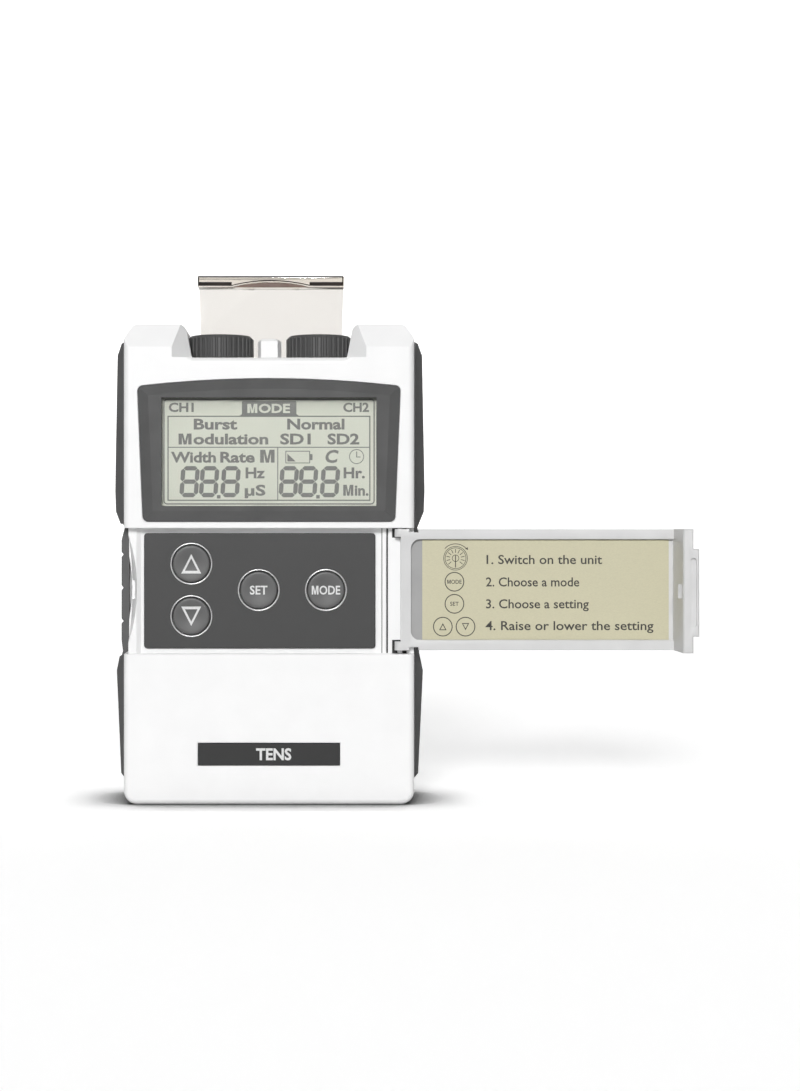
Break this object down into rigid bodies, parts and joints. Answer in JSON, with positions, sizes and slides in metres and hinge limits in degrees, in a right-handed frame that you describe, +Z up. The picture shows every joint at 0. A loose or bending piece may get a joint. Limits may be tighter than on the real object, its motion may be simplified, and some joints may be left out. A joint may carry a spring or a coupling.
{
  "type": "tens unit",
  "caption": "Hand-held nerve stimulator with horned case, display, keypad under a hinged cover, thumb dials under a clear cover, battery door and belt clip.",
  "frame": {"origin": "centre of the flat bottom face that the unit stands on", "axes": "+X to the right of someone facing the display, +Y to the back, +Z up"},
  "size_m": [0.1214, 0.0428, 0.1133],
  "materials": {
    "white_plastic": "satin moulded plastic",
    "grip_rubber": "soft matt rubber",
    "screw_steel": "blackened steel",
    "dark_plate": "printed dark plate",
    "silver_label": "foil label",
    "bezel_plastic": "satin dark grey",
    "clear_window": "clear",
    "lcd_glass": "reflective liquid crystal cell",
    "lcd_backing": "foil",
    "black_plastic": "moulded",
    "zebra_rubber": "layered elastomer",
    "keypad_plastic": "satin dark grey",
    "silver_ring": "bright",
    "button_plastic": "satin dark grey",
    "cover_plastic": "light grey moulded",
    "cream_label": "printed film",
    "pin_steel": "bright drawn",
    "smoky_clear": "clear bronze tint",
    "dial_plastic": "moulded",
    "component_steel": "tinned",
    "brass_metal": "bright",
    "board_green": "solder mask",
    "chip_black": "moulded",
    "transformer_iron": "varnished laminations",
    "capacitor_sleeve": "shrink sleeve",
    "battery_can": "printed can",
    "red_wire": "insulation",
    "foam_pad": "cellular foam"
  },
  "bodies": {
    "case": {"battery": "battery_can", "battery_snap": "chip_black", "battery_terminals": "component_steel", "battery_tray": "white_plastic", "black_battery_wire": "chip_black", "board_screws": "screw_steel", "button_rings": "silver_ring", "case_screws": "screw_steel", "clip_bracket": "black_plastic", "clip_pin": "pin_steel", "clip_screws": "screw_steel", "clip_spring": "pin_steel", "display_bezel": "bezel_plastic", "display_window": "clear_window", "driver_chips": "chip_black", "electrolytic_capacitors": "capacitor_sleeve", "front_shell": "white_plastic", "jack_contacts": "brass_metal", "keypad_panel": "keypad_plastic", "lcd_glass": "lcd_glass", "lcd_holder": "black_plastic", "lcd_reflector": "lcd_backing", "left_grip": "grip_rubber", "main_board": "board_green", "microcontroller": "chip_black", "name_plate": "dark_plate", "output_jack_1": "black_plastic", "output_jack_2": "black_plastic", "output_transformers": "transformer_iron", "potentiometer_1": "component_steel", "potentiometer_2": "component_steel", "potentiometer_nuts": "brass_metal", "quartz_crystal": "component_steel", "rating_plate": "silver_label", "rear_shell": "white_plastic", "red_battery_wire": "red_wire", "right_grip": "grip_rubber", "switch_bases": "black_plastic", "zebra_strip": "zebra_rubber"},
    "keypad_cover": {"panel_cover": "cover_plastic", "panel_cover_pins": "pin_steel", "instruction_label": "cream_label"},
    "dial_lid": {"dial_cover": "smoky_clear", "dial_cover_pins": "pin_steel"},
    "dial_1": {"channel_1_dial": "dial_plastic", "channel_1_shaft": "pin_steel"},
    "dial_2": {"channel_2_dial": "dial_plastic", "channel_2_shaft": "pin_steel"},
    "up_key": {"up_button": "button_plastic", "up_plunger": "chip_black"},
    "down_key": {"down_button": "button_plastic", "down_plunger": "chip_black"},
    "set_key": {"set_button": "button_plastic", "set_plunger": "chip_black"},
    "mode_key": {"mode_button": "button_plastic", "mode_plunger": "chip_black"},
    "door": {"battery_door": "white_plastic", "battery_foam": "foam_pad"},
    "clip_arm": {"clip_lever": "black_plastic"}
  },
  "joints": [
    {"name": "panel_cover_hinge", "type": "hinge", "parent": "case", "child": "keypad_cover", "pos_m": [0.0275, -0.011, 0.04512], "axis": [0, 0, -1], "range_deg": [0, 180]},
    {"name": "dial_cover_hinge", "type": "hinge", "parent": "case", "child": "dial_lid", "pos_m": [0, 0.00845, 0.09335], "axis": [1, 0, 0], "range_deg": [0, 90]},
    {"name": "channel_1_dial_spin", "type": "hinge", "parent": "case", "child": "dial_1", "pos_m": [-0.0106, -0.0005, 0.096], "axis": [0, 0, -1], "range_deg": [0, 300]},
    {"name": "channel_2_dial_spin", "type": "hinge", "parent": "case", "child": "dial_2", "pos_m": [0.0106, -0.0005, 0.096], "axis": [0, 0, -1], "range_deg": [0, 300]},
    {"name": "up_button_press", "type": "slide", "parent": "case", "child": "up_key", "axis": [0, 1, 0], "range_m": [0, 0.0004], "stiffness_N_per_m": 1500, "springref_m": -0.0005},
    {"name": "down_button_press", "type": "slide", "parent": "case", "child": "down_key", "axis": [0, 1, 0], "range_m": [0, 0.0004], "stiffness_N_per_m": 1500, "springref_m": -0.0005},
    {"name": "set_button_press", "type": "slide", "parent": "case", "child": "set_key", "axis": [0, 1, 0], "range_m": [0, 0.0004], "stiffness_N_per_m": 1500, "springref_m": -0.0005},
    {"name": "mode_button_press", "type": "slide", "parent": "case", "child": "mode_key", "axis": [0, 1, 0], "range_m": [0, 0.0004], "stiffness_N_per_m": 1500, "springref_m": -0.0005},
    {"name": "battery_door_hinge", "type": "hinge", "parent": "case", "child": "door", "pos_m": [0, 0.0113, 0.00335], "axis": [-1, 0, 0], "range_deg": [0, 85]},
    {"name": "belt_clip_hinge", "type": "hinge", "parent": "case", "child": "clip_arm", "pos_m": [0, 0.0156, 0.08], "axis": [1, 0, 0], "range_deg": [0, 11], "stiffness_Nm_per_rad": 0.12, "springref_deg": -20.05}
  ]
}
